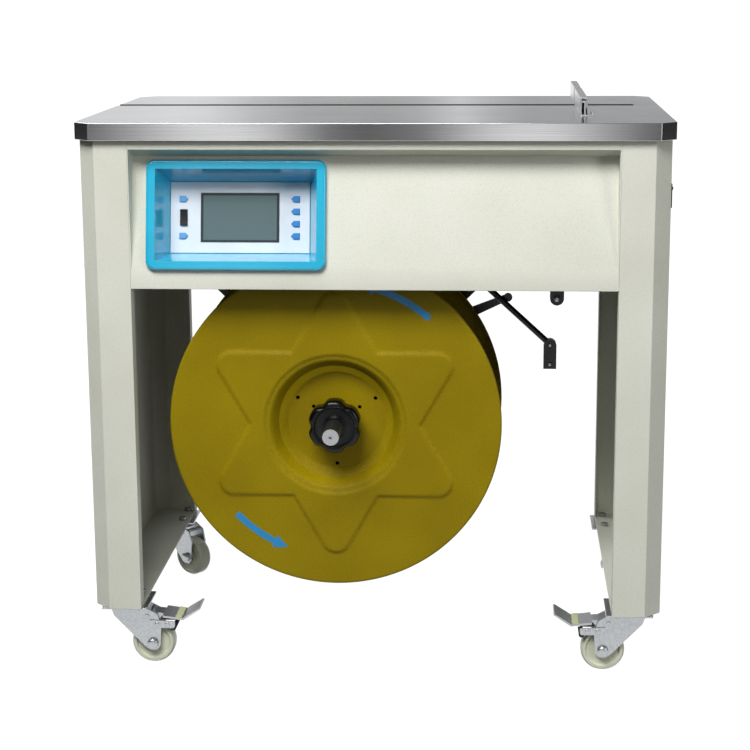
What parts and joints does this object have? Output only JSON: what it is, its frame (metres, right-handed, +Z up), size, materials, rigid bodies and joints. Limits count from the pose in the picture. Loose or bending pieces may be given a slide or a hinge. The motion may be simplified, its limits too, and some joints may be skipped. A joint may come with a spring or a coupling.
{
  "type": "semi automatic strapping machine",
  "caption": "Cabinet on castors with a slotted steel work table, package stops, a control panel in a blue bezel and a strap reel below.",
  "frame": {"origin": "on the floor, under the middle of the machine with the shaft end that stands out in front", "axes": "+X to the operator's right, +Y away from the operator, +Z up"},
  "size_m": [0.89, 0.602, 0.8845],
  "materials": {
    "cabinet_paint": "fine textured powder coat",
    "table_steel": "brushed stainless",
    "stop_steel": "bright drawn",
    "bed_zinc": "zinc plated",
    "bezel_blue": "glossy",
    "panel_white": "satin",
    "display_glass": "satin screen",
    "key_blue": "satin",
    "key_pale": "satin",
    "switch_black": "satin",
    "black_paint": "semi gloss paint",
    "cast_grey": "machined casting",
    "pulley_alloy": "turned",
    "belt_rubber": "matte",
    "roller_rubber": "matte",
    "shaft_chrome": "ground and polished",
    "reel_yellow": "hammer finish paint",
    "knob_black": "satin phenolic",
    "roller_nylon": "satin",
    "chute_steel": "bent sheet",
    "transformer_iron": "varnished laminations",
    "castor_zinc": "zinc plated pressing",
    "wheel_nylon": "cream nylon"
  },
  "bodies": {
    "frame": {"left_side_frame": "cabinet_paint", "right_side_frame": "cabinet_paint", "front_apron": "cabinet_paint", "rear_apron": "cabinet_paint", "machine_bed": "black_paint", "front_table_plate": "table_steel", "front_stop": "stop_steel", "panel_bezel": "bezel_blue", "control_panel": "panel_white", "display_module": "display_glass", "reel_hanger": "black_paint", "reel_bearing": "cast_grey", "drive_motor": "black_paint", "gearbox": "cast_grey", "drive_belt": "belt_rubber", "sealing_head": "cast_grey", "strap_chute": "chute_steel", "transformer": "transformer_iron", "switch_surround": "switch_black", "cable_gland": "switch_black", "caster_plates": "castor_zinc", "frame_screws": "bed_zinc", "table_hinges": "bed_zinc"},
    "rear_table": {"rear_table_plate": "table_steel", "rear_stop": "stop_steel", "rear_hinge_leaves": "bed_zinc"},
    "reel": {"reel_shaft": "shaft_chrome", "reel_rear_flange": "reel_yellow", "reel_core": "reel_yellow", "reel_front_flange": "reel_yellow", "brake_drum": "cast_grey"},
    "knob": {"clamp_knob": "knob_black"},
    "dancer": {"dancer_arm": "black_paint"},
    "strap_roller": {"dancer_roller": "roller_nylon"},
    "brake": {"brake_lever": "black_paint"},
    "guide": {"guide_roller": "roller_nylon"},
    "mode_rocker": {"mode_switch": "switch_black"},
    "power_switch": {"power_rocker": "switch_black"},
    "motor_drive": {"motor_pulley": "pulley_alloy"},
    "gear_input": {"gearbox_pulley": "pulley_alloy"},
    "cams": {"camshaft": "shaft_chrome"},
    "feed": {"feed_roller": "roller_rubber"},
    "pinch": {"pinch_roller": "roller_rubber"},
    "slider": {"slide_plate": "shaft_chrome"},
    "key_program_a_cap": {"key_program_a": "key_blue"},
    "key_program_b_cap": {"key_program_b": "key_blue"},
    "key_program_c_cap": {"key_program_c": "key_blue"},
    "key_program_d_cap": {"key_program_d": "key_blue"},
    "key_feed_cap": {"key_feed": "key_pale"},
    "key_reverse_cap": {"key_reverse": "key_pale"},
    "front_left_swivel": {"front_left_fork": "castor_zinc"},
    "front_left_roller": {"front_left_wheel": "wheel_nylon"},
    "front_right_swivel": {"front_right_fork": "castor_zinc"},
    "front_right_roller": {"front_right_wheel": "wheel_nylon"},
    "rear_left_swivel": {"rear_left_fork": "castor_zinc"},
    "rear_left_roller": {"rear_left_wheel": "wheel_nylon"},
    "rear_right_swivel": {"rear_right_fork": "castor_zinc"},
    "rear_right_roller": {"rear_right_wheel": "wheel_nylon"},
    "front_left_brake": {"front_left_pedal": "castor_zinc"},
    "front_right_brake": {"front_right_pedal": "castor_zinc"}
  },
  "joints": [
    {"name": "rear_table_lift", "type": "hinge", "parent": "frame", "child": "rear_table", "pos_m": [0, 0.296, 0.824], "axis": [-1, 0, 0], "range_deg": [0, 80]},
    {"name": "reel_spin", "type": "hinge", "parent": "frame", "child": "reel", "pos_m": [-0.063, 0, 0.388], "axis": [0, 1, 0], "continuous": true},
    {"name": "clamp_knob_turn", "type": "hinge", "parent": "reel", "child": "knob", "pos_m": [-0.063, -0.219, 0.388], "axis": [0, 1, 0], "continuous": true},
    {"name": "dancer_swing", "type": "hinge", "parent": "frame", "child": "dancer", "pos_m": [0.095, -0.0037, 0.636], "axis": [0, -1, 0], "range_deg": [0, 25]},
    {"name": "dancer_roller_spin", "type": "hinge", "parent": "dancer", "child": "strap_roller", "pos_m": [0.272, 0.011, 0.446], "axis": [0, 1, 0], "continuous": true},
    {"name": "brake_release", "type": "hinge", "parent": "frame", "child": "brake", "pos_m": [0.06, 0.006, 0.49], "axis": [0, -1, 0], "range_deg": [-6, 0.2]},
    {"name": "guide_roller_spin", "type": "hinge", "parent": "frame", "child": "guide", "pos_m": [0.283, 0.031, 0.546], "axis": [0, 1, 0], "continuous": true},
    {"name": "key_program_a_press", "type": "slide", "parent": "frame", "child": "key_program_a_cap", "axis": [0, 0.9795, -0.2017], "range_m": [0, 0.0015], "stiffness_N_per_m": 400},
    {"name": "key_program_b_press", "type": "slide", "parent": "frame", "child": "key_program_b_cap", "axis": [0, 0.9795, -0.2017], "range_m": [0, 0.0015], "stiffness_N_per_m": 400},
    {"name": "key_program_c_press", "type": "slide", "parent": "frame", "child": "key_program_c_cap", "axis": [0, 0.9795, -0.2017], "range_m": [0, 0.0015], "stiffness_N_per_m": 400},
    {"name": "key_program_d_press", "type": "slide", "parent": "frame", "child": "key_program_d_cap", "axis": [0, 0.9795, -0.2017], "range_m": [0, 0.0015], "stiffness_N_per_m": 400},
    {"name": "key_feed_press", "type": "slide", "parent": "frame", "child": "key_feed_cap", "axis": [0, 0.9795, -0.2017], "range_m": [0, 0.0015], "stiffness_N_per_m": 400},
    {"name": "key_reverse_press", "type": "slide", "parent": "frame", "child": "key_reverse_cap", "axis": [0, 0.9795, -0.2017], "range_m": [0, 0.0015], "stiffness_N_per_m": 400},
    {"name": "mode_switch_rock", "type": "hinge", "parent": "frame", "child": "mode_rocker", "pos_m": [-0.2915, -0.2099, 0.70783], "axis": [1, 0, 0], "range_deg": [-6, 6]},
    {"name": "power_rocker_rock", "type": "hinge", "parent": "frame", "child": "power_switch", "pos_m": [0.4385, -0.219, 0.745], "axis": [0, -1, 0], "range_deg": [0, 20]},
    {"name": "motor_spin", "type": "hinge", "parent": "frame", "child": "motor_drive", "pos_m": [0.394, 0.211, 0.718], "axis": [1, 0, 0], "continuous": true},
    {"name": "gearbox_input_spin", "type": "hinge", "parent": "frame", "child": "gear_input", "pos_m": [0.394, 0.083, 0.705], "axis": [1, 0, 0], "continuous": true},
    {"name": "cam_turn", "type": "hinge", "parent": "frame", "child": "cams", "pos_m": [0.2, 0.083, 0.745], "axis": [1, 0, 0], "continuous": true},
    {"name": "feed_roller_spin", "type": "hinge", "parent": "frame", "child": "feed", "pos_m": [0.01, 0.083, 0.765], "axis": [0, 1, 0], "continuous": true},
    {"name": "pinch_roller_spin", "type": "hinge", "parent": "frame", "child": "pinch", "pos_m": [0.01, 0.083, 0.8133], "axis": [0, 1, 0], "continuous": true},
    {"name": "slide_plate_travel", "type": "slide", "parent": "frame", "child": "slider", "axis": [0, 1, 0], "range_m": [0, 0.012]},
    {"name": "front_left_swivel_turn", "type": "hinge", "parent": "frame", "child": "front_left_swivel", "pos_m": [-0.393, -0.221, 0.09], "axis": [0, 0, 1], "continuous": true},
    {"name": "front_left_wheel_roll", "type": "hinge", "parent": "front_left_swivel", "child": "front_left_roller", "pos_m": [-0.354, -0.221, 0.034], "axis": [0, 1, 0], "continuous": true},
    {"name": "front_left_pedal_press", "type": "hinge", "parent": "front_left_swivel", "child": "front_left_brake", "pos_m": [-0.362, -0.221, 0.079], "axis": [0, 1, 0], "range_deg": [0, 8]},
    {"name": "front_right_swivel_turn", "type": "hinge", "parent": "frame", "child": "front_right_swivel", "pos_m": [0.393, -0.221, 0.09], "axis": [0, 0, 1], "continuous": true},
    {"name": "front_right_wheel_roll", "type": "hinge", "parent": "front_right_swivel", "child": "front_right_roller", "pos_m": [0.354, -0.221, 0.034], "axis": [0, -1, 0], "continuous": true},
    {"name": "front_right_pedal_press", "type": "hinge", "parent": "front_right_swivel", "child": "front_right_brake", "pos_m": [0.362, -0.221, 0.079], "axis": [0, -1, 0], "range_deg": [0, 8]},
    {"name": "rear_left_swivel_turn", "type": "hinge", "parent": "frame", "child": "rear_left_swivel", "pos_m": [-0.393, 0.243, 0.09], "axis": [0, 0, 1], "continuous": true},
    {"name": "rear_left_wheel_roll", "type": "hinge", "parent": "rear_left_swivel", "child": "rear_left_roller", "pos_m": [-0.36185, 0.21953, 0.034], "axis": [0.6018, 0.7986, 0], "continuous": true},
    {"name": "rear_right_swivel_turn", "type": "hinge", "parent": "frame", "child": "rear_right_swivel", "pos_m": [0.393, 0.243, 0.09], "axis": [0, 0, 1], "continuous": true},
    {"name": "rear_right_wheel_roll", "type": "hinge", "parent": "rear_right_swivel", "child": "rear_right_roller", "pos_m": [0.39843, 0.20438, 0.034], "axis": [0.9903, 0.1392, 0], "continuous": true}
  ],
  "couplings": [
    {"joint": "brake_release", "follows": "dancer_swing", "ratio": -0.2},
    {"joint": "gearbox_input_spin", "follows": "motor_spin", "ratio": 0.55},
    {"joint": "cam_turn", "follows": "motor_spin", "ratio": 0.055},
    {"joint": "pinch_roller_spin", "follows": "feed_roller_spin", "ratio": -1.4}
  ]
}
